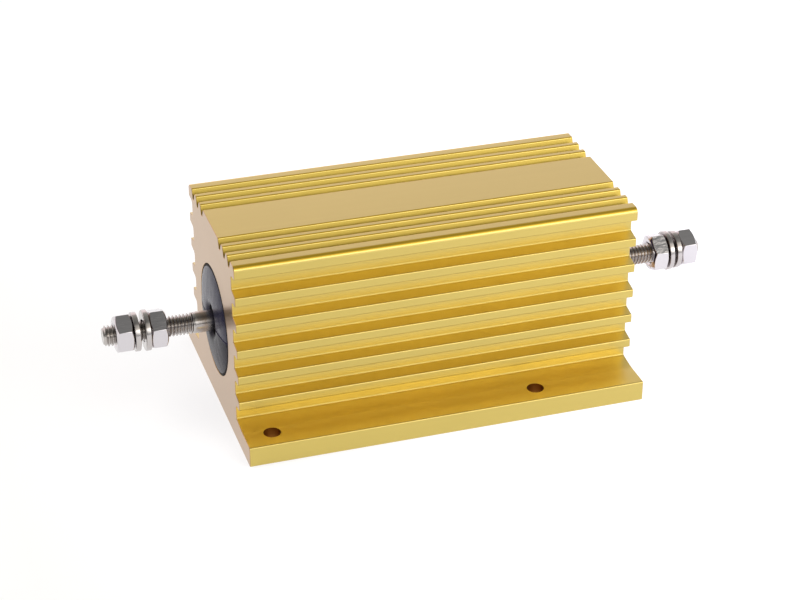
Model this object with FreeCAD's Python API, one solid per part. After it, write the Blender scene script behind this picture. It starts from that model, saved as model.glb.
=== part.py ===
# Chassis-mount power resistor: a ceramic-cored wire winding moulded into a finned
# aluminium extrusion, with a threaded terminal stud at each end.
# Frame: origin at the centre of the mounting face, +X along the extrusion towards the
# right-hand stud, +Y towards the rear flange, +Z up out of the mounting face.
# Lengths are in millimetres, angles in degrees.

import FreeCAD, Part
import math
import os

Vector = FreeCAD.Vector

# Clearances
fit_gap = 0.05              # between pieces that seat on or in each other
bolt_gap = 0.20             # radial room of a washer round its stud

# Housing extrusion
housing_length = 114.3
housing_height = 55.5
body_width = 53.0           # across the fin tips
root_width = 45.2           # across the groove floors
flange_width = 74.0
flange_edge = 6.0           # flange thickness at its outer edge
flange_ramp = 5.5           # strip beside the body over which the flange thickens
flange_ramp_round = 20.0
fin_pitch = 8.05
fin_tip = 2.55              # fin thickness at the tip
fin_top_taper = 0.8         # rise of a fin's or flange's upper face from tip to root
fin_under_taper = 0.4       # drop of a fin's lower face from tip to root
side_grooves = 6
root_fillet = 1.0           # under each fin, where it meets the body
floor_fillet = 0.5          # on top of each fin, where it meets the body
tip_round = 0.3
crown_round = 1.3           # outer top corners of the extrusion
flange_round = 0.25

# Grooves in the top of the extrusion, on each side of the plain middle band
top_flat_width = 17.4
top_grooves = 3
top_groove_pitch = 5.15
top_groove_width = 3.4
top_groove_depth = 2.6
top_groove_draft = 1.1      # how far a groove's wall leans in over its depth
top_groove_round = 0.4
top_edge_round = 0.15

# Bore and mounting holes
bore_diameter = 31.8
bore_height = 25.7          # bore axis above the mounting face
hole_diameter = 4.8
hole_margin = 6.0           # from a flange's outer edge to its holes' axes
hole_near_end = 7.85        # from the extrusion's end to the nearer hole of a row
hole_far_end = 30.25        # from the other end to the farther hole

# Resistance element
core_diameter = 15.0
core_inset = 15.15          # from the extrusion's end to the ceramic core
wire_diameter = 1.3
wire_pitch = 4.2
cap_wall = 1.2
cap_length = 8.0

# Terminal studs
stud_diameter = 6.0
stud_reach = 31.4           # from the extrusion's end to the stud's tip
stud_tip_chamfer = 0.6
stud_head_diameter = 11.0
stud_head_thickness = 2.0

# Moulding that fills the bore
moulding_recess = 0.15      # rim of the moulding inside the extrusion's end
moulding_crown = 1.3        # how far the domed end stands out of its rim at the middle
moulding_well_width = 0.9   # shallow well round each stud
moulding_well_depth = 0.8

# Nuts and washers
nut_across_flats = 10.0
nut_thickness = 4.9
nut_face_diameter = 9.1     # round face left by the chamfer
nut_chamfer_angle = 30.0
nut_countersink = 0.4
washer_diameter = 11.5
washer_thickness = 1.45
washer_round = 0.2
spring_diameter = 11.0
spring_thickness = 1.45
spring_rise = 0.25          # how far one end of the split ring stands above the other
spring_split = 0.7
spring_split_turn = 110.0   # place of the split, from the bottom towards the rear
lug_room_left = 1.3         # room for a cable lug between the two washers
lug_room_right = 0.75

# Where each stack of nuts stands, and how its nuts are turned
inner_nut_left = 13.8       # from the extrusion's end to the inner nut
inner_nut_right = 16.1
left_nut_turns = (22.7, 30.5)
right_nut_turns = (21.3, 33.5)

half_length = housing_length / 2.0
bore_radius = bore_diameter / 2.0
stud_radius = stud_diameter / 2.0
core_radius = core_diameter / 2.0
half_core = half_length - core_inset
wire_radius = wire_diameter / 2.0
cap_outer_radius = core_radius + fit_gap + cap_wall
cap_end = half_core + fit_gap + cap_wall
head_start = cap_end + fit_gap
head_end = head_start + stud_head_thickness
stud_tip = half_length + stud_reach
axis_point = Vector(0.0, 0.0, bore_height)
X_AXIS = Vector(1.0, 0.0, 0.0)


# Outlines with rounded corners

def corner_points(before, corner, after, radius):
    """Start, middle and end of the tangent arc of a radius at one corner."""
    back = (before - corner).normalize()
    ahead = (after - corner).normalize()
    half_angle = back.getAngle(ahead) / 2.0
    reach = radius / math.tan(half_angle)
    to_centre = (back + ahead).normalize()
    centre = corner + to_centre * (radius / math.sin(half_angle))
    return corner + back * reach, centre - to_centre * radius, corner + ahead * reach


def rounded_face(corners):
    """Closed face through (point, radius) corners, with an arc at each rounded one."""
    points = [point for point, radius in corners]
    count = len(points)
    arcs = []
    for index, (point, radius) in enumerate(corners):
        if radius > 0.0:
            arcs.append(corner_points(points[index - 1], point, points[(index + 1) % count], radius))
        else:
            arcs.append((point, None, point))
    edges = []
    for index, (start, middle, end) in enumerate(arcs):
        if middle is not None:
            edges.append(Part.Arc(start, middle, end).toShape())
        following = arcs[(index + 1) % count][0]
        if end.distanceToPoint(following) > 1e-6:
            edges.append(Part.LineSegment(end, following).toShape())
    return Part.Face(Part.Wire(edges))


# Housing

def side_corners():
    """Right half of the section up the side: flange, fins and grooves."""
    tip = body_width / 2.0
    root = root_width / 2.0
    flange = flange_width / 2.0
    corners = [
        (flange, 0.0, flange_round),
        (flange, flange_edge, flange_round),
        (root + flange_ramp, flange_edge, flange_ramp_round),
    ]
    for groove in range(side_grooves):
        floor = flange_edge + groove * fin_pitch
        under = floor + fin_pitch - fin_tip
        corners.append((root, floor + fin_top_taper, floor_fillet))
        corners.append((root, under - fin_under_taper, root_fillet))
        corners.append((tip, under, tip_round))
        if groove < side_grooves - 1:
            corners.append((tip, floor + fin_pitch, tip_round))
    corners.append((tip, housing_height, crown_round))
    return corners


def top_corners():
    """Right half of the section across the top, from the outer groove inwards."""
    top = housing_height
    floor = housing_height - top_groove_depth
    corners = []
    for groove in reversed(range(top_grooves)):
        inner = top_flat_width / 2.0 + groove * top_groove_pitch
        outer = inner + top_groove_width
        corners.append((outer, top, top_edge_round))
        corners.append((outer - top_groove_draft, floor, top_groove_round))
        corners.append((inner + top_groove_draft, floor, top_groove_round))
        corners.append((inner, top, top_edge_round))
    return corners


def housing_section():
    half = side_corners() + top_corners()
    mirrored = [(-y, z, radius) for y, z, radius in reversed(half)]
    return rounded_face([(Vector(-half_length, y, z), radius) for y, z, radius in half + mirrored])


def mounting_hole_places():
    """Front row set to the left; the rear row is the same, turned half a turn about Z."""
    row = flange_width / 2.0 - hole_margin
    near = half_length - hole_near_end
    far = half_length - hole_far_end
    return [(-near, -row), (far, -row), (near, row), (-far, row)]


def housing():
    body = housing_section().extrude(X_AXIS * housing_length)
    cuts = [Part.makeCylinder(bore_radius, housing_length, axis_point - X_AXIS * half_length, X_AXIS)]
    for x, y in mounting_hole_places():
        cuts.append(Part.makeCylinder(hole_diameter / 2.0, flange_edge * 2.0, Vector(x, y, -flange_edge / 2.0)))
    return body.cut(Part.makeCompound(cuts))


# Turned pieces: profiles of (distance along X, radius), revolved about the bore axis

def turned(profile):
    corners = [(Vector(x, 0.0, bore_height + radius), rounding) for x, radius, rounding in profile]
    return rounded_face(corners).revolve(axis_point, X_AXIS, 360.0)


def other_end(shape):
    """The same piece at the left-hand end."""
    return shape.mirror(Vector(0.0, 0.0, 0.0), X_AXIS)


def ceramic_core():
    return turned([
        (-half_core, 0.0, 0.0),
        (-half_core, core_radius, 0.0),
        (half_core, core_radius, 0.0),
        (half_core, 0.0, 0.0),
    ])


def end_cap():
    """Pressed metal cup over the right-hand end of the core."""
    rim = half_core - cap_length
    inner = core_radius + fit_gap
    return turned([
        (rim, inner, 0.0),
        (rim, cap_outer_radius, 0.0),
        (cap_end, cap_outer_radius, cap_wall / 2.0),
        (cap_end, 0.0, 0.0),
        (half_core + fit_gap, 0.0, 0.0),
        (half_core + fit_gap, inner, 0.0),
    ])


def winding():
    """One layer of round wire round the core, from cap to cap."""
    length = 2.0 * (half_core - cap_length - fit_gap) - wire_diameter
    turns = round(length / wire_pitch)
    radius = core_radius + fit_gap + wire_radius
    spine = Part.makeHelix(length / turns, length, radius)
    ring = Part.makeCircle(wire_radius, Vector(radius, 0.0, 0.0), Vector(0.0, 1.0, 0.0))
    wire = Part.Wire(spine).makePipeShell([Part.Wire(ring)], True, True)
    wire.rotate(Vector(0.0, 0.0, 0.0), Vector(0.0, 1.0, 0.0), 90.0)
    wire.translate(axis_point - X_AXIS * (length / 2.0))
    return wire


def terminal_stud():
    return turned([
        (head_start, 0.0, 0.0),
        (head_start, stud_head_diameter / 2.0, 0.0),
        (head_end, stud_head_diameter / 2.0, 0.0),
        (head_end, stud_radius, 0.0),
        (stud_tip - stud_tip_chamfer, stud_radius, 0.0),
        (stud_tip, stud_radius - stud_tip_chamfer, 0.0),
        (stud_tip, 0.0, 0.0),
    ])


def moulding():
    """Fills the bore round the element; both ends are domed, with a well at the stud."""
    outer = bore_radius - fit_gap
    rim = half_length - moulding_recess
    hole = stud_radius + fit_gap
    well = hole + moulding_well_width
    room = max(cap_outer_radius, core_radius + fit_gap + wire_diameter) + fit_gap
    arc_radius = (outer ** 2 + moulding_crown ** 2) / (2.0 * moulding_crown)

    def dome(radius):
        return rim + moulding_crown - arc_radius + math.sqrt(arc_radius ** 2 - radius ** 2)

    def at(x, radius):
        return Vector(x, 0.0, bore_height + radius)

    half = [
        at(rim, outer),
        at(dome(well), well),
        at(dome(well) - moulding_well_depth, hole),
        at(head_end + fit_gap, hole),
        at(head_end + fit_gap, room),
    ]
    mirrored = [Vector(-point.x, point.y, point.z) for point in reversed(half)]
    bend = (outer + well) / 2.0
    edges = [
        Part.Arc(half[0], at(dome(bend), bend), half[1]).toShape(),
        Part.makePolygon(half[1:] + mirrored[:-1]),
        Part.Arc(mirrored[-2], at(-dome(bend), bend), mirrored[-1]).toShape(),
        Part.LineSegment(mirrored[-1], half[0]).toShape(),
    ]
    outline = [edge for piece in edges for edge in piece.Edges]
    return Part.Face(Part.Wire(outline)).revolve(axis_point, X_AXIS, 360.0)


# Nuts and washers, each starting at a distance from the middle and stacked outwards

def hex_nut(start, turn):
    """Hexagon nut, chamfered on both faces; turn is a corner's angle above the front."""
    corner_radius = nut_across_flats / 2.0 / math.cos(math.radians(30.0))
    corners = []
    for step in range(6):
        angle = math.radians(turn + 60.0 * step)
        y = -corner_radius * math.cos(angle)
        z = bore_height + corner_radius * math.sin(angle)
        corners.append((Vector(start, y, z), 0.0))
    prism = rounded_face(corners).extrude(X_AXIS * nut_thickness)
    face_radius = nut_face_diameter / 2.0
    slope = math.tan(math.radians(nut_chamfer_angle))
    widest = face_radius + nut_thickness / 2.0 / slope
    cones = turned([
        (start, 0.0, 0.0),
        (start, face_radius, 0.0),
        (start + nut_thickness / 2.0, widest, 0.0),
        (start + nut_thickness, face_radius, 0.0),
        (start + nut_thickness, 0.0, 0.0),
    ])
    hole = stud_radius + fit_gap
    bore = turned([
        (start, 0.0, 0.0),
        (start, hole + nut_countersink, 0.0),
        (start + nut_countersink, hole, 0.0),
        (start + nut_thickness - nut_countersink, hole, 0.0),
        (start + nut_thickness, hole + nut_countersink, 0.0),
        (start + nut_thickness, 0.0, 0.0),
    ])
    return prism.common(cones).cut(bore)


def flat_washer(start):
    hole = stud_radius + bolt_gap
    outer = washer_diameter / 2.0
    return turned([
        (start, hole, 0.0),
        (start, outer, washer_round),
        (start + washer_thickness, outer, washer_round),
        (start + washer_thickness, hole, 0.0),
    ])


def spring_washer(start):
    """Split ring of square section, a little sprung, its two ends apart at the rear."""
    hole = stud_radius + bolt_gap
    outer = spring_diameter / 2.0
    section = Part.makePolygon([
        Vector(hole, 0.0, 0.0),
        Vector(outer, 0.0, 0.0),
        Vector(outer, 0.0, spring_thickness),
        Vector(hole, 0.0, spring_thickness),
        Vector(hole, 0.0, 0.0),
    ])
    middle = (hole + outer) / 2.0
    used = 1.0 - spring_split / (2.0 * math.pi * middle)
    spine = Part.makeHelix(spring_rise / used, spring_rise, middle)
    ring = Part.Wire(spine).makePipeShell([section], True, True)
    ring.rotate(Vector(0.0, 0.0, 0.0), Vector(0.0, 1.0, 0.0), 90.0)
    ring.rotate(Vector(0.0, 0.0, 0.0), X_AXIS, spring_split_turn)
    ring.translate(axis_point + X_AXIS * start)
    return ring


def terminal_hardware(side, start, lug_room, turns):
    """Inner nut, flat washer, spring washer and outer nut of one stud, by node name."""
    washer_at = start + nut_thickness + fit_gap
    spring_at = washer_at + washer_thickness + lug_room
    outer_at = spring_at + spring_thickness + spring_rise + fit_gap
    stack = {
        side + "_inner_nut": hex_nut(start, turns[0]),
        side + "_flat_washer": flat_washer(washer_at),
        side + "_spring_washer": spring_washer(spring_at),
        side + "_outer_nut": hex_nut(outer_at, turns[1]),
    }
    return stack


def build_part():
    nodes = {
        "housing": housing(),
        "moulding": moulding(),
        "ceramic_core": ceramic_core(),
        "resistance_winding": winding(),
        "right_end_cap": end_cap(),
        "left_end_cap": other_end(end_cap()),
        "right_stud": terminal_stud(),
        "left_stud": other_end(terminal_stud()),
    }
    right = terminal_hardware("right", half_length + inner_nut_right, lug_room_right, right_nut_turns)
    left = terminal_hardware("left", half_length + inner_nut_left, lug_room_left, left_nut_turns)
    nodes.update(right)
    for name, shape in left.items():
        nodes[name] = other_end(shape)
    return nodes


os.makedirs("parts", exist_ok=True)
for node, shape in build_part().items():
    solids = shape.Solids
    solid = solids[0] if len(solids) == 1 else Part.makeCompound(solids)
    solid.exportStep("parts/" + node + ".step")
    box = solid.BoundBox
    print(node, "solids", len(solids), "valid", solid.isValid(), "volume", round(solid.Volume, 1))
    print("  x %.2f %.2f  y %.2f %.2f  z %.2f %.2f" % (box.XMin, box.XMax, box.YMin, box.YMax, box.ZMin, box.ZMax))
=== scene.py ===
"""Looks of the chassis-mount power resistor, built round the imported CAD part.

The housing, the moulding, the studs, the nuts and the washers are remade here with the
sizes of the solids and finer detail: cut ends with broken edges, helical threads, a
moulding seam, rounder edges. Lengths are named in millimetres and the meshes are in
metres, in the CAD frame.
"""

import math

import bmesh
import bpy
from mathutils import Matrix, Vector, noise


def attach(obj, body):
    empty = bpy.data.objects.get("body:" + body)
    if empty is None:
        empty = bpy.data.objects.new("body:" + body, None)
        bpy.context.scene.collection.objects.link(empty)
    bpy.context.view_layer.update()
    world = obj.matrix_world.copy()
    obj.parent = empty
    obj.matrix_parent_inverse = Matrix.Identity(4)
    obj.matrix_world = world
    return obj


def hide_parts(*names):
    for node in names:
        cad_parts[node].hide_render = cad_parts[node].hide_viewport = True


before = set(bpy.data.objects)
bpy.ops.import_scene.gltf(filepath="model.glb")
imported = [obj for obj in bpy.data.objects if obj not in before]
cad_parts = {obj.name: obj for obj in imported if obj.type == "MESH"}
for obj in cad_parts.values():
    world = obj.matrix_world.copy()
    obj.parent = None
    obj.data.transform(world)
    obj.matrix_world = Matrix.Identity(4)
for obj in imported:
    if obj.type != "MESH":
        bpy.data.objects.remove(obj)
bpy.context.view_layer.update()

MM = 0.001
ROOT = "root"

# Sizes of the solids, in millimetres
LENGTH = 114.3
HEIGHT = 55.5
BODY_WIDTH = 53.0
ROOT_WIDTH = 45.2
FLANGE_WIDTH = 74.0
FLANGE_EDGE = 6.0
FLANGE_RAMP = 5.5
FLANGE_RAMP_ROUND = 20.0
FIN_PITCH = 8.05
FIN_TIP = 2.55
FIN_TOP_TAPER = 0.8
FIN_UNDER_TAPER = 0.4
SIDE_GROOVES = 6
ROOT_FILLET = 1.0
FLOOR_FILLET = 0.5
TOP_FLAT = 17.4
TOP_GROOVES = 3
TOP_PITCH = 5.15
TOP_GROOVE_WIDTH = 3.4
TOP_GROOVE_DEPTH = 2.6
TOP_GROOVE_DRAFT = 1.1
TOP_GROOVE_ROUND = 0.4
BORE_RADIUS = 15.9
AXIS_Z = 25.7
HOLE_RADIUS = 2.4
HOLE_ROW = 31.0
HOLE_NEAR = 49.3
HOLE_FAR = 26.9
FIT_GAP = 0.05
BOLT_GAP = 0.2
STUD_RADIUS = 3.0
STUD_REACH = 31.4
NUT_FLATS = 10.0
NUT_THICKNESS = 4.9
NUT_FACE_RADIUS = 4.55
NUT_CHAMFER_ANGLE = 30.0
WASHER_RADIUS = 5.75
WASHER_THICKNESS = 1.45
SPRING_RADIUS = 5.5
SPRING_THICKNESS = 1.45
SPRING_RISE = 0.25
SPRING_SPLIT = 0.7
SPRING_TURN = 110.0         # degrees from the bottom towards the rear
INNER_NUT_LEFT = 13.8       # from the extrusion's end
INNER_NUT_RIGHT = 16.1
LUG_ROOM_LEFT = 1.3         # between the two washers
LUG_ROOM_RIGHT = 0.75
LEFT_NUT_TURNS = (22.7, 30.5)
RIGHT_NUT_TURNS = (21.3, 33.5)
MOULDING_RECESS = 0.15
MOULDING_CROWN = 1.3
CAVITY_RADIUS = 9.0
CAVITY_INSET = 8.0          # from the extrusion's end to the cavity round the element

HALF = LENGTH / 2.0
STUD_TIP = HALF + STUD_REACH

# Edges that are a little rounder here than in the solids, in millimetres
TIP_ROUND = 0.4
CROWN_ROUND = 1.6
FLANGE_ROUND = 0.4
TOP_EDGE_ROUND = 0.5

# Sizes of the finer detail, in millimetres
CUT_EDGE = 0.12             # broken edge of the sawn ends
BORE_EDGE = 0.08
HOLE_EDGE = 0.12
HOLE_FLARE = 0.35           # how much the hole cutter widens above the flange
CUT_BELOW = 1.0
CUT_ABOVE = 2.0
THREAD_PITCH = 1.0
THREAD_DEPTH = 0.6
THREAD_START = 64.0         # where the plain shank ends, from the middle
THREAD_RUN_OUT = 1.4        # length over which the thread grows to its full depth
THREAD_TRIM = 0.03          # how far the crests stay under the shank
SHANK_TRIM = 0.02           # how far the shank stays under the solid's
SHANK_INSET = 6.0           # how deep the shank starts inside the extrusion's end
SHANK_RUN_IN = 0.5          # from the shank's last row to the thread's first
TIP_CHAMFER = 0.85
NUT_CORNER_ROUND = 0.25
NUT_EDGE = 0.12
NUT_SINK_DEPTH = 0.55
NUT_SINK_WIDTH = 0.45
WASHER_ROUNDS = (0.15, 0.12, 0.35, 0.1)     # one edge drawn round by the punch
SPRING_ROUNDS = (0.12, 0.18, 0.18, 0.12)
RIM_ROUND = 0.2
RIM_EDGE = 0.15
RIM_WIDTH = 0.8
WELL_DEPTH = 2.2            # hollow round each stud
WELL_WIDTH = 1.5
NOTCH_DEPTH = 1.0           # where the seam meets the bore at the front
NOTCH_WIDTH = 0.8
SEAM_DEPTH = 0.30
SEAM_WIDTH = 0.16
SEAM_LIP = 0.06
LIP_PLACE = 2.2             # of the lip beside the seam, in widths of the seam
WAVE = 0.05
WAVE_SCALE = 0.35
WAVE_SLICE = 4.0            # puts each end's waves in a slice of the noise of its own

# Angles and counts
ARC_STEP = math.radians(9.0)
SHARPEST_MITRE = 0.5                # cosine that limits how far an inset corner moves
SEAM_TURN = math.radians(2.0)       # direction of the parting seam, from the front upwards
SHOULDER_POWER = 4.0                # the higher, the flatter the moulding's dome
ROUND_SEGMENTS = 128
HOLE_SEGMENTS = 64
STUD_SEGMENTS = 48
SPRING_STEPS = 120
MOULDING_SEGMENTS = 360
MOULDING_STEPS = 44
THREAD_SHAPE = (0.0, 0.08, 0.33, 0.66, 0.93, 1.0, 0.93, 0.66, 0.33, 0.08)

# Limits between the finishes: shares of a face's normal, and distances in millimetres
END_FACE = 0.6              # more than this along the part: a sawn end
DRAWN_FACE = 0.3            # less than this along the part: the drawn section
HOLE_WALL = 0.5             # less than this upwards: the wall of a hole
SLANTING = 0.2              # more than this upwards and sideways: a rounded edge
CROWN_FACE = 0.60           # more than this upwards: the upper part of the crown
SHELF_FACE = 0.7            # more than this upwards: the top of a fin or a flange
LEVEL_MARGIN = 1.0
HOLE_REACH = 1.2            # in radii of the hole
CUT_REACH = 1.1             # in widths of the broken edge

# Closeness of vertices, in metres
SAME_SPOT = 1e-7
NO_LENGTH = 1e-8
THREAD_MERGE = 2e-6
ON_PLANE = 1e-6

# The photograph's view: angles in degrees, lengths in millimetres
VIEW_AZIMUTH = -17.775
VIEW_ELEVATION = 29.291
VIEW_ROLL = 0.120
VIEW_DISTANCE = 612.636
VIEW_HEIGHT = 28.0
VIEW_RIGHT = 2.9326
VIEW_UP = 5.0239
VIEW_FOCAL_PIXELS = 2156.88
PICTURE_WIDTH = 800
SENSOR_WIDTH = 36.0

# Floor, lights and walls
LIGHT_TARGET = 0.03         # metres over the floor, where the lights point
FLOOR_HALF = 3.0
FLOOR_DROP = 0.0002         # metres, so that the floor and the mounting face don't flicker
FLOOR_COLOUR = (0.34, 0.34, 0.336)
FLOOR_GLOW_LEFT = (0.58, 0.58, 0.58)        # the floor is a light table, brighter to the right
FLOOR_GLOW_RIGHT = (1.05, 1.04, 1.10)
FLOOR_FADE = 0.12           # metres from the middle to where each glow is whole
WALL_STRENGTH = 3.0         # brightness of a wall of colour 1.0
WALL_BLEND = 0.15           # sine of the angle over which the front and back walls meet
# Colours up the walls: each height is the sine of the angle over the horizon, seen along the part
BACK_WALL = (
    (0.0, (0.46, 0.415, 0.42)),
    (0.50, (0.45, 0.395, 0.40)),
    (0.62, (0.21, 0.20, 0.19)),
    (0.86, (0.13, 0.13, 0.12)),
    (0.97, (0.09, 0.09, 0.085)),
)
FRONT_WALL = (
    (0.0, (0.15, 0.15, 0.15)),
    (0.14, (0.28, 0.28, 0.28)),
    (0.30, (0.62, 0.61, 0.59)),
    (0.44, (1.10, 1.09, 1.06)),
    (0.56, (1.15, 1.13, 1.08)),
    (0.66, (0.42, 0.40, 0.36)),
    (0.86, (0.28, 0.27, 0.25)),
    (0.97, (0.10, 0.10, 0.095)),
)
FRONT_LEFT_SHARE = 0.27     # brightness of the front wall's left end
FRONT_RIGHT_SHARE = 1.35
FRONT_LEFT_END = -0.1       # sines of the angle to the side where each share is whole
FRONT_RIGHT_END = 0.5


# Meshes

def rounded_outline(corners):
    """Points round a closed outline of (a, b, radius) corners, arcs in small steps."""
    points = []
    count = len(corners)
    for index, (a, b, radius) in enumerate(corners):
        corner = Vector((a, b))
        before = Vector(corners[index - 1][:2])
        after = Vector(corners[(index + 1) % count][:2])
        back = (before - corner).normalized()
        ahead = (after - corner).normalized()
        if radius <= 0.0:
            points.append(corner)
            continue
        half_angle = back.angle(ahead) / 2.0
        reach = radius / math.tan(half_angle)
        centre = corner + (back + ahead).normalized() * (radius / math.sin(half_angle))
        first = corner + back * reach - centre
        last = corner + ahead * reach - centre
        sweep = math.atan2(first.x * last.y - first.y * last.x, first.dot(last))
        steps = max(3, math.ceil(abs(sweep) / ARC_STEP))
        for step in range(steps + 1):
            turn = sweep * step / steps
            spoke = Vector((
                first.x * math.cos(turn) - first.y * math.sin(turn),
                first.x * math.sin(turn) + first.y * math.cos(turn),
            ))
            points.append(centre + spoke)
    return points


def inset(points, distance):
    """The outline moved inwards; the outline runs anticlockwise."""
    moved = []
    count = len(points)
    for index, point in enumerate(points):
        before = (point - points[index - 1]).normalized()
        after = (points[(index + 1) % count] - point).normalized()
        along = (before + after).normalized()
        inward = Vector((-along.y, along.x))
        stretch = 1.0 / max(SHARPEST_MITRE, along.dot(after))
        moved.append(point + inward * distance * stretch)
    return moved


def ring(mesh, coordinates):
    """A row of vertices from places in millimetres."""
    return [mesh.verts.new(Vector(c) * MM) for c in coordinates]


def bridge(mesh, first, second, closed=True):
    """Quads between two rows of vertices."""
    count = len(first)
    for i in range(count if closed else count - 1):
        j = (i + 1) % count
        mesh.faces.new((first[i], first[j], second[j], second[i]))


def to_data(name, mesh):
    """The bmesh as mesh data; the bmesh is freed."""
    data = bpy.data.meshes.new(name)
    mesh.to_mesh(data)
    mesh.free()
    return data


def finish_mesh(name, mesh, smooth_angle, nodes, materials, weighted=True):
    """Turns a bmesh into a piece that rides on the part and stands for its CAD nodes."""
    bmesh.ops.remove_doubles(mesh, verts=mesh.verts, dist=SAME_SPOT)
    bmesh.ops.dissolve_degenerate(mesh, edges=mesh.edges, dist=NO_LENGTH)
    bmesh.ops.recalc_face_normals(mesh, faces=mesh.faces)
    return finish_data(name, to_data(name, mesh), smooth_angle, nodes, materials, weighted)


def finish_data(name, data, smooth_angle, nodes, materials, weighted=True):
    """The same for mesh data: smooth up to the angle, with flat faces that stay flat."""
    for polygon in data.polygons:
        polygon.use_smooth = True
    data.set_sharp_from_angle(angle=math.radians(smooth_angle))
    data.materials.clear()
    for material in materials:
        data.materials.append(material)
    piece = bpy.data.objects.new(name, data)
    bpy.context.scene.collection.objects.link(piece)
    if weighted:
        modifier = piece.modifiers.new("flat_faces_stay_flat", "WEIGHTED_NORMAL")
        modifier.keep_sharp = True
    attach(piece, ROOT)
    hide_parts(*nodes)
    return piece


def finish_faces(data, finishes, rule):
    """Gives each face the finish that the rule names for its place and its normal."""
    for polygon in data.polygons:
        polygon.material_index = finishes.index(rule(polygon.center / MM, polygon.normal))


def about_axis(x, radius, angle):
    """A point round the bore axis; the angle runs from the front (-Y) upwards."""
    return (x, -radius * math.cos(angle), AXIS_Z + radius * math.sin(angle))


def round_row(mesh, x, radius, segments=ROUND_SEGMENTS):
    return ring(mesh, [about_axis(x, radius, math.tau * i / segments) for i in range(segments)])


def turned_rows(mesh, profile, closed=False):
    """Surface of revolution about the bore axis from (x, radius) points."""
    rows = [round_row(mesh, x, radius) for x, radius in profile]
    for first, second in zip(rows, rows[1:] + rows[:1] if closed else rows[1:]):
        bridge(mesh, first, second)
    return rows


# Node materials

MIX_VALUE, MIX_FIRST, MIX_SECOND, MIX_RESULT = 0, 6, 7, 2       # colour sockets of a mix node
CLOUD_SCALE = 45.0
COAT_ROUGHNESS = 0.3
COAT_IOR = 1.6
PLAIN_RELIEF = 0.0001
MOULDING_CLOUD = 260.0
DRAWN_STREAKS = (1.2, 120.0, 120.0)         # long along the part, fine across it


def new_material(name):
    material = bpy.data.materials.new(name)
    material.use_nodes = True
    tree = material.node_tree
    shader = tree.nodes["Principled BSDF"]
    return material, tree, shader


def add(tree, kind, **values):
    """A node with its inputs and properties set by name."""
    node = tree.nodes.new(kind)
    for key, value in values.items():
        if hasattr(node, key):
            setattr(node, key, value)
        else:
            node.inputs[key.replace("_", " ")].default_value = value
    return node


def link(tree, source, target):
    tree.links.new(source, target)


def stretched_noise(tree, stretch, scale, detail=3.0):
    """Noise in the object's own coordinates, stretched along one axis."""
    place = add(tree, "ShaderNodeTexCoord")
    mapping = add(tree, "ShaderNodeMapping", Scale=stretch)
    texture = add(tree, "ShaderNodeTexNoise", Scale=scale, Detail=detail)
    link(tree, place.outputs["Object"], mapping.inputs["Vector"])
    link(tree, mapping.outputs["Vector"], texture.inputs["Vector"])
    return texture.outputs["Fac"]


def remap(tree, value, low, high, from_low=0.3, from_high=0.7):
    """The value moved to a new range; noise mostly lies between the default limits."""
    node = add(tree, "ShaderNodeMapRange")
    node.inputs["From Min"].default_value = from_low
    node.inputs["From Max"].default_value = from_high
    node.inputs["To Min"].default_value = low
    node.inputs["To Max"].default_value = high
    link(tree, value, node.inputs["Value"])
    return node.outputs["Result"]


def two_colours(tree, value, first, second):
    node = add(tree, "ShaderNodeMix", data_type="RGBA")
    node.inputs[MIX_FIRST].default_value = (*first, 1.0)
    node.inputs[MIX_SECOND].default_value = (*second, 1.0)
    link(tree, value, node.inputs[MIX_VALUE])
    return node.outputs[MIX_RESULT]


def bump(tree, value, strength, distance):
    node = add(tree, "ShaderNodeBump", Strength=strength, Distance=distance)
    link(tree, value, node.inputs["Height"])
    return node.outputs["Normal"]


def metal(name, first, second, rough, stretch, scale, grain, coat=0.0, relief=0.00002):
    """A metal in two close colours, with streaks in its roughness and relief.

    grain is the strength of the relief and relief its height in metres. The coat is the
    clear layer of the anodising.
    """
    material, tree, shader = new_material(name)
    streaks = stretched_noise(tree, stretch, scale)
    cloud = stretched_noise(tree, (1.0, 1.0, 1.0), CLOUD_SCALE, 2.0)
    link(tree, two_colours(tree, remap(tree, cloud, 0.0, 1.0), first, second), shader.inputs["Base Color"])
    link(tree, remap(tree, streaks, *rough), shader.inputs["Roughness"])
    link(tree, bump(tree, streaks, grain, relief), shader.inputs["Normal"])
    shader.inputs["Metallic"].default_value = 1.0
    shader.inputs["Coat Weight"].default_value = coat
    shader.inputs["Coat Roughness"].default_value = COAT_ROUGHNESS
    shader.inputs["Coat IOR"].default_value = COAT_IOR
    return material


def gold(word, first, second, rough, coat=0.0):
    """Gold anodising on a drawn surface."""
    return metal("gold_anodised_" + word, first, second, rough, DRAWN_STREAKS, 10.0, 0.02, coat)


def plain(name, first, second, rough, scale, grain, metallic=0.0, shine=0.5, tint=(1.0, 1.0, 1.0)):
    """A surface without streaks, in two close colours; tint colours its shine."""
    material, tree, shader = new_material(name)
    cloud = stretched_noise(tree, (1.0, 1.0, 1.0), scale, 4.0)
    link(tree, two_colours(tree, remap(tree, cloud, 0.0, 1.0), first, second), shader.inputs["Base Color"])
    link(tree, remap(tree, cloud, *rough), shader.inputs["Roughness"])
    link(tree, bump(tree, cloud, grain, PLAIN_RELIEF), shader.inputs["Normal"])
    shader.inputs["Metallic"].default_value = metallic
    shader.inputs["Specular IOR Level"].default_value = shine
    shader.inputs["Specular Tint"].default_value = (*tint, 1.0)
    return material


def compound(name, first, second, rough, grain, shine, tint=(1.0, 1.0, 1.0)):
    return plain(name, first, second, rough, MOULDING_CLOUD, grain, shine=shine, tint=tint)


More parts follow.
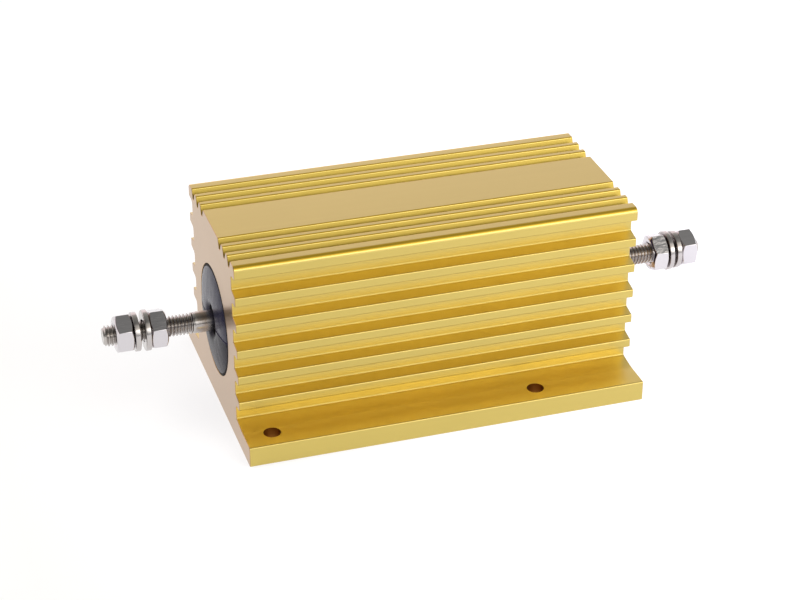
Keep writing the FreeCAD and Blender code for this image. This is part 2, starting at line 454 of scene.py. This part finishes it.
gold_drawn = gold("drawn", (0.60, 0.462, 0.104), (0.585, 0.45, 0.10), (0.38, 0.41), coat=0.7)
# Lighter copy of the gold for the fin tops and the flange top at the front only: painted light.
gold_shelf_painted_light = gold("groove", (1.0, 0.775, 0.195), (0.97, 0.755, 0.19), (0.38, 0.41), coat=0.8)
# Darker copy of the gold with less coat, for the walls of the top grooves: painted shade.
gold_wall_painted_shade = gold("wall", (0.44, 0.315, 0.045), (0.43, 0.305, 0.043), (0.34, 0.36), coat=0.45)
# Lighter, smoother copy of the gold for the rounded edges: a smoother finish and a painted highlight.
gold_edge_painted_highlight = gold("edge", (0.72, 0.555, 0.16), (0.70, 0.54, 0.155), (0.30, 0.32), coat=0.3)
gold_cut = metal("gold_anodised_cut", (0.45, 0.262, 0.098), (0.435, 0.253, 0.094), (0.30, 0.31),
                 (30.0, 30.0, 30.0), 20.0, 0.0, coat=0.5)
# Much lighter, deeper gold without coat for the upper part of the crown: a painted highlight.
gold_crown_painted_highlight = gold("crown", (0.93, 0.61, 0.07), (0.91, 0.595, 0.065), (0.28, 0.30))
# Inside the mounting holes: drill streaks and a rougher finish, on a darker brown base that is painted shade
# in the holes.
gold_hole_painted_shade = metal("gold_anodised_drilled_painted_shade", (0.42, 0.19, 0.03), (0.33, 0.14, 0.02), (0.35, 0.45),
                  (40.0, 40.0, 900.0), 6.0, 0.3, coat=0.2)
moulding_finish = compound("moulding_compound", (0.013, 0.012, 0.026), (0.018, 0.017, 0.035),
                           (0.26, 0.28), 0.0, 0.18, (0.84, 0.82, 1.0))
moulding_rim = compound("moulding_compound_rim", (0.012, 0.010, 0.010), (0.018, 0.015, 0.015),
                        (0.62, 0.70), 0.1, 0.07)
# The moulding's lower half below the seam: darker, with less shine: painted shade.
moulding_lower_painted_shade = compound("moulding_compound_lower_painted_shade", (0.010, 0.009, 0.014), (0.014, 0.013, 0.020),
                          (0.26, 0.28), 0.0, 0.05, (0.86, 0.84, 1.0))
# Near-black and matt in the hollow round each stud: painted shadow of the stud in its well.
moulding_well_painted_shadow = compound("moulding_compound_well_painted_shadow", (0.004, 0.004, 0.005), (0.006, 0.006, 0.007),
                         (0.7, 0.8), 0.1, 0.05)
nickel_nut = metal("plated_nut", (0.66, 0.635, 0.66), (0.59, 0.57, 0.59), (0.08, 0.14),
                   (1.0, 6.0, 6.0), 200.0, 1.0, relief=0.00006)
nickel_nut_hammered = metal("plated_nut_hammered", (0.70, 0.675, 0.69), (0.62, 0.60, 0.61), (0.12, 0.2),
                            (1.0, 2.2, 2.2), 420.0, 1.0, relief=0.0003)
nickel_washer = metal("plated_washer", (0.56, 0.53, 0.52), (0.47, 0.44, 0.43), (0.12, 0.2),
                      (400.0, 60.0, 60.0), 10.0, 0.2)
nickel_stud = metal("plated_stud", (0.54, 0.51, 0.49), (0.44, 0.415, 0.40), (0.14, 0.26),
                    (60.0, 60.0, 60.0), 12.0, 0.2)
core_finish = plain("core_ceramic", (0.72, 0.69, 0.62), (0.66, 0.63, 0.56), (0.55, 0.75), 500.0, 0.3)
wire_finish = plain("resistance_wire", (0.30, 0.28, 0.26), (0.22, 0.20, 0.19), (0.28, 0.42), 900.0, 0.2, 1.0)
cap_finish = plain("cap_metal", (0.55, 0.53, 0.50), (0.47, 0.45, 0.43), (0.25, 0.40), 600.0, 0.2, 1.0)

HIDDEN_FINISHES = {
    "ceramic_core": core_finish,
    "resistance_winding": wire_finish,
    "left_end_cap": cap_finish,
    "right_end_cap": cap_finish,
}
HOUSING_FINISHES = [gold_drawn, gold_cut, gold_hole_painted_shade, gold_shelf_painted_light, gold_edge_painted_highlight, gold_wall_painted_shade, gold_crown_painted_highlight]
MOULDING_FINISHES = [moulding_finish, moulding_well_painted_shadow, moulding_rim, moulding_lower_painted_shade]


def hidden_pieces():
    """The element inside keeps its solids and gets plain finishes."""
    for node, finish in HIDDEN_FINISHES.items():
        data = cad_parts[node].data
        data.materials.clear()
        data.materials.append(finish)


# Housing

def housing_outline():
    """The extrusion's section, anticlockwise seen from the right-hand end."""
    tip = BODY_WIDTH / 2.0
    root = ROOT_WIDTH / 2.0
    flange = FLANGE_WIDTH / 2.0
    half = [
        (flange, 0.0, FLANGE_ROUND),
        (flange, FLANGE_EDGE, FLANGE_ROUND),
        (root + FLANGE_RAMP, FLANGE_EDGE, FLANGE_RAMP_ROUND),
    ]
    for groove in range(SIDE_GROOVES):
        floor = FLANGE_EDGE + groove * FIN_PITCH
        under = floor + FIN_PITCH - FIN_TIP
        half.append((root, floor + FIN_TOP_TAPER, FLOOR_FILLET))
        half.append((root, under - FIN_UNDER_TAPER, ROOT_FILLET))
        half.append((tip, under, TIP_ROUND))
        if groove < SIDE_GROOVES - 1:
            half.append((tip, floor + FIN_PITCH, TIP_ROUND))
    half.append((tip, HEIGHT, CROWN_ROUND))
    for groove in reversed(range(TOP_GROOVES)):
        inner = TOP_FLAT / 2.0 + groove * TOP_PITCH
        outer = inner + TOP_GROOVE_WIDTH
        low = HEIGHT - TOP_GROOVE_DEPTH
        half.append((outer, HEIGHT, TOP_EDGE_ROUND))
        half.append((outer - TOP_GROOVE_DRAFT, low, TOP_GROOVE_ROUND))
        half.append((inner + TOP_GROOVE_DRAFT, low, TOP_GROOVE_ROUND))
        half.append((inner, HEIGHT, TOP_EDGE_ROUND))
    return rounded_outline(half + [(-y, z, radius) for y, z, radius in reversed(half)])


def hole_cutter():
    """The four mounting holes with broken edges, as one cutting mesh."""
    mesh = bmesh.new()
    profile = [
        (-CUT_BELOW, HOLE_RADIUS + HOLE_EDGE + CUT_BELOW),
        (HOLE_EDGE, HOLE_RADIUS),
        (FLANGE_EDGE - HOLE_EDGE, HOLE_RADIUS),
        (FLANGE_EDGE + CUT_ABOVE, HOLE_RADIUS + HOLE_FLARE),
    ]
    places = [
        (-HOLE_NEAR, -HOLE_ROW),
        (HOLE_FAR, -HOLE_ROW),
        (HOLE_NEAR, HOLE_ROW),
        (-HOLE_FAR, HOLE_ROW),
    ]
    angles = [math.tau * i / HOLE_SEGMENTS for i in range(HOLE_SEGMENTS)]
    for x, y in places:
        rows = [
            ring(mesh, [(x + radius * math.cos(a), y + radius * math.sin(a), z) for a in angles])
            for z, radius in profile
        ]
        for first, second in zip(rows, rows[1:]):
            bridge(mesh, first, second)
        mesh.faces.new(reversed(rows[0]))
        mesh.faces.new(rows[-1])
    bmesh.ops.recalc_face_normals(mesh, faces=mesh.faces)
    return bpy.data.objects.new("hole_cutter", to_data("hole_cutter", mesh))


def housing_blank():
    """The extrusion with its bore and broken ends, before the mounting holes."""
    outline = housing_outline()
    cut = inset(outline, CUT_EDGE)
    stations = ((-HALF, cut), (-HALF + CUT_EDGE, outline), (HALF - CUT_EDGE, outline), (HALF, cut))
    mesh = bmesh.new()
    rows = [ring(mesh, [(x, p.x, p.y) for p in points]) for x, points in stations]
    for first, second in zip(rows, rows[1:]):
        bridge(mesh, first, second)
    bore = turned_rows(mesh, [
        (-HALF, BORE_RADIUS + BORE_EDGE),
        (-HALF + BORE_EDGE, BORE_RADIUS),
        (HALF - BORE_EDGE, BORE_RADIUS),
        (HALF, BORE_RADIUS + BORE_EDGE),
    ])
    for outer, inner in ((rows[0], bore[0]), (rows[-1], bore[-1])):
        ends = set(outer) | set(inner)
        edges = [e for e in mesh.edges if ends.issuperset(e.verts) and len(e.link_faces) == 1]
        bmesh.ops.triangle_fill(mesh, use_beauty=True, edges=edges)
    bmesh.ops.recalc_face_normals(mesh, faces=mesh.faces)
    return bpy.data.objects.new("housing_blank", to_data("housing_blank", mesh))


def drilled(blank, cutter):
    """Mesh data of the blank without what the cutter takes out; both objects go."""
    for item in (blank, cutter):
        bpy.context.scene.collection.objects.link(item)
    drill = blank.modifiers.new("drill", "BOOLEAN")
    drill.operation = "DIFFERENCE"
    drill.solver = "EXACT"
    drill.object = cutter
    bpy.context.view_layer.update()
    data = bpy.data.meshes.new_from_object(blank.evaluated_get(bpy.context.evaluated_depsgraph_get()))
    for item in (blank, cutter):
        bpy.data.objects.remove(item)
    return data


def housing_finish(centre, normal):
    """Which finish a face of the housing takes: lighter copies of the gold paint light and highlights,
    darker ones paint shade.
    """
    drawn = abs(normal.x) < DRAWN_FACE
    over_flange = centre.z > FLANGE_EDGE + LEVEL_MARGIN
    outer_edge = abs(centre.y) > BODY_WIDTH / 2.0 - CROWN_ROUND
    top_edge = centre.z > HEIGHT - TOP_EDGE_ROUND
    flange_edge = -centre.y > FLANGE_WIDTH / 2.0 - FLANGE_ROUND
    in_hole = abs(abs(centre.y) - HOLE_ROW) < HOLE_RADIUS * HOLE_REACH and abs(normal.z) < HOLE_WALL
    slanting = abs(normal.y) > SLANTING and normal.z > SLANTING
    groove_bottom = HEIGHT - TOP_GROOVE_DEPTH
    if abs(normal.x) > END_FACE and abs(centre.x) > HALF - CUT_EDGE * CUT_REACH:
        return gold_cut
    # Hole walls take the darker finish: painted shade in the holes.
    if in_hole and not over_flange:
        return gold_hole_painted_shade
    # Rounded edges take lighter copies of the gold: painted highlights.
    if slanting and drawn and (top_edge or flange_edge or outer_edge and over_flange):
        # The upper part of the crown takes the lightest copy: a painted highlight.
        upper_crown = normal.z > CROWN_FACE and centre.z > HEIGHT - CROWN_ROUND
        return gold_crown_painted_highlight if upper_crown else gold_edge_painted_highlight
    # Walls of the top grooves take the darker copy: painted shade in the grooves.
    if drawn and not outer_edge and groove_bottom < centre.z < HEIGHT - TOP_EDGE_ROUND:
        return gold_wall_painted_shade
    # Upward faces below the top grooves, at the front only, take the lighter copy: painted light on the
    # shelves.
    if normal.z > SHELF_FACE and centre.y < 0.0 and centre.z < groove_bottom - LEVEL_MARGIN:
        return gold_shelf_painted_light
    return gold_drawn


def housing():
    data = drilled(housing_blank(), hole_cutter())
    finish_data("housing_extrusion", data, 28.0, ["housing"], HOUSING_FINISHES)
    finish_faces(data, HOUSING_FINISHES, housing_finish)


# Studs, with right-handed threads at both ends

def stud(name, side, node):
    """A stud with a rolled thread from its plain shank to its chamfered tip.

    The rows of vertices follow the helix, so its crest is never cut by the mesh. Beyond
    the thread's two ends they are held to a flat ring, and what lies on one spot is merged.
    """
    per_turn = len(THREAD_SHAPE)
    low = THREAD_START - THREAD_PITCH
    high = STUD_TIP
    shank = STUD_RADIUS - SHANK_TRIM
    mesh = bmesh.new()

    def thread_point(step, turn):
        """turn runs from 0 to 1 round the stud; the seam column is made twice and merged."""
        lead = turn if side > 0.0 else 1.0 - turn
        along = low + (step / per_turn + lead - 1.0) * THREAD_PITCH
        x = min(max(along, low), high)
        fade = min(1.0, max(0.0, (x - low) / THREAD_RUN_OUT))
        groove = THREAD_SHAPE[step % per_turn] * THREAD_DEPTH
        cone = STUD_RADIUS - TIP_CHAMFER + (high - x)
        return about_axis(side * x, min(shank - (THREAD_TRIM + groove) * fade, cone), math.tau * turn)

    columns = [i / STUD_SEGMENTS for i in range(STUD_SEGMENTS + 1)]
    steps = math.ceil((high - low + 2.0 * THREAD_PITCH) * per_turn / THREAD_PITCH)
    rows = [
        ring(mesh, [about_axis(side * x, shank, math.tau * turn) for turn in columns])
        for x in (HALF - SHANK_INSET, low - SHANK_RUN_IN)
    ]
    rows += [ring(mesh, [thread_point(step, turn) for turn in columns]) for step in range(steps)]
    for first, second in zip(rows, rows[1:]):
        bridge(mesh, first, second, closed=False)
    bmesh.ops.remove_doubles(mesh, verts=mesh.verts, dist=THREAD_MERGE)
    for x in (side * (HALF - SHANK_INSET), side * high):
        rim = [
            e for e in mesh.edges
            if len(e.link_faces) == 1 and all(abs(v.co.x - x * MM) < ON_PLANE for v in e.verts)
        ]
        bmesh.ops.contextual_create(mesh, geom=rim)
    finish_mesh(name, mesh, 40.0, [node], [nickel_stud])


# Nuts

def nut_outline(turn):
    """Hexagon with slightly rounded corners, as (angle, radius) about the axis."""
    flat = NUT_FLATS / 2.0
    tip = (flat - NUT_CORNER_ROUND) / math.cos(math.radians(30.0))
    points = []
    for step in range(6):
        middle = turn + 60.0 * step
        centre = Vector((tip * math.cos(math.radians(middle)), tip * math.sin(math.radians(middle))))
        for part in range(-3, 4):
            angle = math.radians(middle + part * 10.0)
            spot = centre + Vector((math.cos(angle), math.sin(angle))) * NUT_CORNER_ROUND
            points.append((math.atan2(spot.y, spot.x), spot.length))
        for part in range(1, 10):
            angle = math.radians(middle + 60.0 * part / 10.0)
            points.append((angle, flat / math.cos(angle - math.radians(middle + 30.0))))
    return sorted((angle % math.tau, radius) for angle, radius in points)


def nut(name, side, start, turn, node, flats):
    """A hexagon nut, chamfered on both faces, with broken edges and its own finish on the flats."""
    mesh = bmesh.new()
    outline = nut_outline(turn)
    end = start + NUT_THICKNESS
    hole = STUD_RADIUS + FIT_GAP
    slope = math.tan(math.radians(NUT_CHAMFER_ANGLE))
    soft = NUT_EDGE

    def drop(radius):
        """How far the chamfer lies under the face."""
        return max(0.0, (radius - NUT_FACE_RADIUS) * slope)

    # Rows from the hole over the face and the chamfer to the flats, each a rule that turns
    # the outline's radius into a depth under the face and a radius; shares of soft round
    # the two broken edges
    walls = [
        lambda r: (NUT_SINK_DEPTH, hole),
        lambda r: (0.0, hole + NUT_SINK_WIDTH),
        lambda r: (0.0, NUT_FACE_RADIUS - soft),
        lambda r: (soft * 0.35, NUT_FACE_RADIUS + soft * 0.3),
        lambda r: (drop(r - soft) + soft * 0.2, r - soft),
        lambda r: (drop(r) + soft * 0.35, r - soft * 0.25),
        lambda r: (drop(r) + soft * 1.2, r),
    ]

    def row(wall, from_start):
        points = []
        for angle, radius in outline:
            depth, out = wall(radius)
            x = start + depth if from_start else end - depth
            points.append(about_axis(side * x, out, angle))
        return ring(mesh, points)

    rows = [row(wall, True) for wall in walls] + [row(wall, False) for wall in reversed(walls)]
    for first, second in zip(rows, rows[1:] + rows[:1]):
        bridge(mesh, first, second)
    piece = finish_mesh(name, mesh, 34.0, [node], [nickel_nut, flats])
    for polygon in piece.data.polygons:
        if abs(polygon.normal.x) < DRAWN_FACE:
            polygon.material_index = 1


# Washers

def washer_section(start, thickness, outer, rounds):
    """Rounded section of a washer, as points along and away from the axis."""
    hole = STUD_RADIUS + BOLT_GAP
    corners = [(start, hole), (start, outer), (start + thickness, outer), (start + thickness, hole)]
    return rounded_outline([(*corner, radius) for corner, radius in zip(corners, rounds)])


def flat_washer(name, side, start, node):
    mesh = bmesh.new()
    section = washer_section(start, WASHER_THICKNESS, WASHER_RADIUS, WASHER_ROUNDS)
    turned_rows(mesh, [(side * p.x, p.y) for p in section], closed=True)
    finish_mesh(name, mesh, 40.0, [node], [nickel_washer])


def spring_washer(name, side, start, node):
    """A split ring whose two ends stand apart along the axis."""
    mesh = bmesh.new()
    section = washer_section(0.0, SPRING_THICKNESS, SPRING_RADIUS, SPRING_ROUNDS)
    middle = (STUD_RADIUS + BOLT_GAP + SPRING_RADIUS) / 2.0
    sweep = math.tau - SPRING_SPLIT / middle
    first_angle = math.radians(SPRING_TURN - 90.0) + math.pi
    rows = []
    for step in range(SPRING_STEPS + 1):
        part = step / SPRING_STEPS
        base = start + SPRING_RISE * part
        angle = first_angle + sweep * part
        rows.append(ring(mesh, [about_axis(side * (base + p.x), p.y, angle) for p in section]))
    for first, second in zip(rows, rows[1:]):
        bridge(mesh, first, second)
    mesh.faces.new(rows[0])
    mesh.faces.new(reversed(rows[-1]))
    finish_mesh(name, mesh, 40.0, [node], [nickel_washer])


def hardware(word, side, inner_start, lug_room, turns, inner_flats):
    """Inner nut, flat washer, spring washer, outer nut and stud of one end."""
    washer_at = HALF + inner_start + NUT_THICKNESS + FIT_GAP
    spring_at = washer_at + WASHER_THICKNESS + lug_room
    outer_at = spring_at + SPRING_THICKNESS + SPRING_RISE + FIT_GAP
    nut(word + "_inner_nut_finish", side, HALF + inner_start, turns[0], word + "_inner_nut", inner_flats)
    flat_washer(word + "_flat_washer_finish", side, washer_at, word + "_flat_washer")
    spring_washer(word + "_spring_washer_finish", side, spring_at, word + "_spring_washer")
    nut(word + "_outer_nut_finish", side, outer_at, turns[1], word + "_outer_nut", nickel_nut)
    stud(word + "_stud_finish", side, word + "_stud")


# Moulding, with its parting seam and its domed ends

MOULDING_RADIUS = BORE_RADIUS - FIT_GAP
MOULDING_HOLE = STUD_RADIUS + FIT_GAP
MOULDING_FACE = HALF - MOULDING_RECESS


def dome_height(radius):
    """How far the domed end stands out of its rim: nearly flat, with a soft shoulder."""
    return MOULDING_CROWN * (1.0 - (radius / MOULDING_RADIUS) ** SHOULDER_POWER)


def bell(distance, width):
    """1 at no distance, falling softly to 0 over about twice the width."""
    return math.exp(-(distance / width) ** 2)


def dome_hollow(side, radius, angle):
    """How far the well, the seam, its lip, the notch and the waves lie under the dome."""
    away = radius * math.sin(angle - SEAM_TURN)
    depth = WELL_DEPTH * bell(radius - MOULDING_HOLE, WELL_WIDTH)
    depth += SEAM_DEPTH * bell(away, SEAM_WIDTH)
    depth -= SEAM_LIP * bell(abs(away) - SEAM_WIDTH * LIP_PLACE, SEAM_WIDTH)
    if math.cos(angle - SEAM_TURN) > 0.0:
        depth += NOTCH_DEPTH * bell(math.hypot(away, MOULDING_RADIUS - radius), NOTCH_WIDTH)
    y, z = radius * math.cos(angle), radius * math.sin(angle)
    return depth + WAVE * noise.noise(Vector((y * WAVE_SCALE, z * WAVE_SCALE, side * WAVE_SLICE)))


def moulding_face_finish(centre, normal):
    """Which finish a face of the moulding takes: the well is painted shadow and the lower half is darker
    with less shine, painted shade.
    """
    radius = math.hypot(centre.y, centre.z - AXIS_Z)
    # The well round the stud takes the near-black finish: painted shadow.
    if radius < MOULDING_HOLE + WELL_WIDTH:
        return moulding_well_painted_shadow
    if radius > MOULDING_RADIUS - RIM_WIDTH:
        return moulding_rim
    return moulding_lower_painted_shade if centre.z < AXIS_Z else moulding_finish


def moulding():
    """Closed body of the compound; seam, well and small waves are in the mesh."""
    mesh = bmesh.new()
    inner = MOULDING_HOLE + SHANK_TRIM
    span = MOULDING_RADIUS - RIM_ROUND - MOULDING_HOLE
    cavity_end = HALF - CAVITY_INSET

    def end_row(side, part):
        radius = inner + span * part
        points = []
        for i in range(MOULDING_SEGMENTS):
            angle = math.tau * i / MOULDING_SEGMENTS
            height = dome_height(radius) - dome_hollow(side, radius, angle)
            points.append(about_axis(side * (MOULDING_FACE + height), radius, angle))
        return ring(mesh, points)

    def flat_row(x, radius):
        return round_row(mesh, x, radius, MOULDING_SEGMENTS)

    parts = [step / MOULDING_STEPS for step in range(MOULDING_STEPS + 1)]
    rows = [flat_row(-cavity_end, MOULDING_HOLE)]
    rows += [end_row(-1.0, part) for part in parts]
    rows += [flat_row(x, MOULDING_RADIUS) for x in (-(MOULDING_FACE - RIM_EDGE), MOULDING_FACE - RIM_EDGE)]
    rows += [end_row(1.0, part) for part in reversed(parts)]
    rows += [flat_row(cavity_end, MOULDING_HOLE)]
    rows += [flat_row(x, CAVITY_RADIUS) for x in (cavity_end, -cavity_end)]
    for first, second in zip(rows, rows[1:] + rows[:1]):
        bridge(mesh, first, second)
    piece = finish_mesh("moulding_finish", mesh, 50.0, ["moulding"],
                        MOULDING_FINISHES, False)
    finish_faces(piece.data, MOULDING_FINISHES, moulding_face_finish)


# Floor, light and camera

def floor():
    """A pale plane that glows like a light table."""
    material, tree, shader = new_material("pale_floor")
    place = add(tree, "ShaderNodeTexCoord")
    parts = add(tree, "ShaderNodeSeparateXYZ")
    link(tree, place.outputs["Object"], parts.inputs["Vector"])
    across = remap(tree, parts.outputs["X"], 0.0, 1.0, -FLOOR_FADE, FLOOR_FADE)
    link(tree, two_colours(tree, across, FLOOR_GLOW_LEFT, FLOOR_GLOW_RIGHT), shader.inputs["Emission Color"])
    shader.inputs["Emission Strength"].default_value = 1.0
    shader.inputs["Base Color"].default_value = (*FLOOR_COLOUR, 1.0)
    shader.inputs["Roughness"].default_value = 0.9
    shader.inputs["Specular IOR Level"].default_value = 0.0
    mesh = bmesh.new()
    bmesh.ops.create_grid(mesh, x_segments=1, y_segments=1, size=FLOOR_HALF)
    data = to_data("floor", mesh)
    data.materials.append(material)
    plane = bpy.data.objects.new("floor", data)
    plane.location = (0.0, 0.0, -FLOOR_DROP)
    bpy.context.scene.collection.objects.link(plane)


def softbox(name, azimuth, elevation, distance, width, height, radiance, colour):
    """A rectangular light that faces the object, of a given brightness per area."""
    data = bpy.data.lights.new(name, "AREA")
    data.shape = "RECTANGLE"
    data.size = width
    data.size_y = height
    data.energy = radiance * math.pi * width * height
    data.color = colour
    light = bpy.data.objects.new(name, data)
    a, e = math.radians(azimuth), math.radians(elevation)
    towards = Vector((math.sin(a) * math.cos(e), -math.cos(a) * math.cos(e), math.sin(e)))
    light.location = Vector((0.0, 0.0, LIGHT_TARGET)) + towards * distance
    light.rotation_mode = "QUATERNION"
    light.rotation_quaternion = (-towards).to_track_quat("-Z", "Y")
    light.visible_camera = False
    light.visible_glossy = False
    bpy.context.scene.collection.objects.link(light)


def colour_ramp(tree, value, stops):
    node = add(tree, "ShaderNodeValToRGB")
    ramp = node.color_ramp
    ramp.interpolation = "EASE"
    while len(ramp.elements) < len(stops):
        ramp.elements.new(0.5)
    for element, (place, colour) in zip(ramp.elements, stops):
        element.position = place
        element.color = (*colour, 1.0)
    link(tree, value, node.inputs["Fac"])
    return node.outputs["Color"]


def studio_world():
    """A room with a pale wall behind the object and a bright band across the front wall.

    The front wall's light also grows from left to right.
    """
    world = bpy.data.worlds.new("studio")
    world.use_nodes = True
    bpy.context.scene.world = world
    tree = world.node_tree
    background = tree.nodes["Background"]
    place = add(tree, "ShaderNodeTexCoord")
    whole = add(tree, "ShaderNodeSeparateXYZ")
    link(tree, place.outputs["Generated"], whole.inputs["Vector"])
    level = add(tree, "ShaderNodeVectorMath", operation="MULTIPLY")
    level.inputs[1].default_value = (0.0, 1.0, 1.0)
    link(tree, place.outputs["Generated"], level.inputs[0])
    across = add(tree, "ShaderNodeVectorMath", operation="NORMALIZE")
    link(tree, level.outputs["Vector"], across.inputs[0])
    parts = add(tree, "ShaderNodeSeparateXYZ")
    link(tree, across.outputs["Vector"], parts.inputs["Vector"])
    back = colour_ramp(tree, parts.outputs["Z"], BACK_WALL)
    front = add(tree, "ShaderNodeVectorMath", operation="SCALE")
    link(tree, colour_ramp(tree, parts.outputs["Z"], FRONT_WALL), front.inputs[0])
    share = remap(tree, whole.outputs["X"], FRONT_LEFT_SHARE, FRONT_RIGHT_SHARE,
                  FRONT_LEFT_END, FRONT_RIGHT_END)
    link(tree, share, front.inputs["Scale"])
    node = add(tree, "ShaderNodeMix", data_type="RGBA")
    link(tree, remap(tree, parts.outputs["Y"], 0.0, 1.0, -WALL_BLEND, WALL_BLEND), node.inputs[MIX_VALUE])
    link(tree, front.outputs["Vector"], node.inputs[MIX_FIRST])
    link(tree, back, node.inputs[MIX_SECOND])
    link(tree, node.outputs[MIX_RESULT], background.inputs["Color"])
    background.inputs["Strength"].default_value = WALL_STRENGTH


def camera():
    """The photograph's view, from a fit of the camera and the section to its outline."""
    azimuth = math.radians(VIEW_AZIMUTH)
    elevation = math.radians(VIEW_ELEVATION)
    roll = math.radians(VIEW_ROLL)
    back = Vector((
        math.sin(azimuth) * math.cos(elevation),
        -math.cos(azimuth) * math.cos(elevation),
        math.sin(elevation),
    ))
    level = (-back).cross(Vector((0.0, 0.0, 1.0))).normalized()
    rise = level.cross(-back)
    right = level * math.cos(roll) + rise * math.sin(roll)
    up = rise * math.cos(roll) - level * math.sin(roll)
    place = Vector((0.0, 0.0, VIEW_HEIGHT)) - right * VIEW_RIGHT - up * VIEW_UP + back * VIEW_DISTANCE
    data = bpy.data.cameras.new("camera")
    data.sensor_width = SENSOR_WIDTH
    data.lens = VIEW_FOCAL_PIXELS * SENSOR_WIDTH / PICTURE_WIDTH
    data.clip_start = 0.01
    data.clip_end = 20.0
    view = bpy.data.objects.new("camera", data)
    turn = Matrix((right, up, back)).transposed().to_4x4()
    view.matrix_world = Matrix.Translation(place * MM) @ turn
    bpy.context.scene.collection.objects.link(view)
    bpy.context.scene.camera = view


# The whole scene

hidden_pieces()
housing()
hardware("right", 1.0, INNER_NUT_RIGHT, LUG_ROOM_RIGHT, RIGHT_NUT_TURNS, nickel_nut_hammered)
hardware("left", -1.0, INNER_NUT_LEFT, LUG_ROOM_LEFT, LEFT_NUT_TURNS, nickel_nut)
moulding()
floor()
studio_world()
softbox("right_light", azimuth=55.0, elevation=50.0, distance=1.4, width=1.6, height=1.6,
        radiance=0.8, colour=(1.0, 0.995, 0.99))
softbox("left_light", azimuth=-100.0, elevation=36.0, distance=0.45, width=0.35, height=0.3,
        radiance=4.0, colour=(1.0, 0.98, 0.96))
camera()

bpy.context.scene.view_settings.view_transform = "Standard"
bpy.context.scene.view_settings.look = "None"
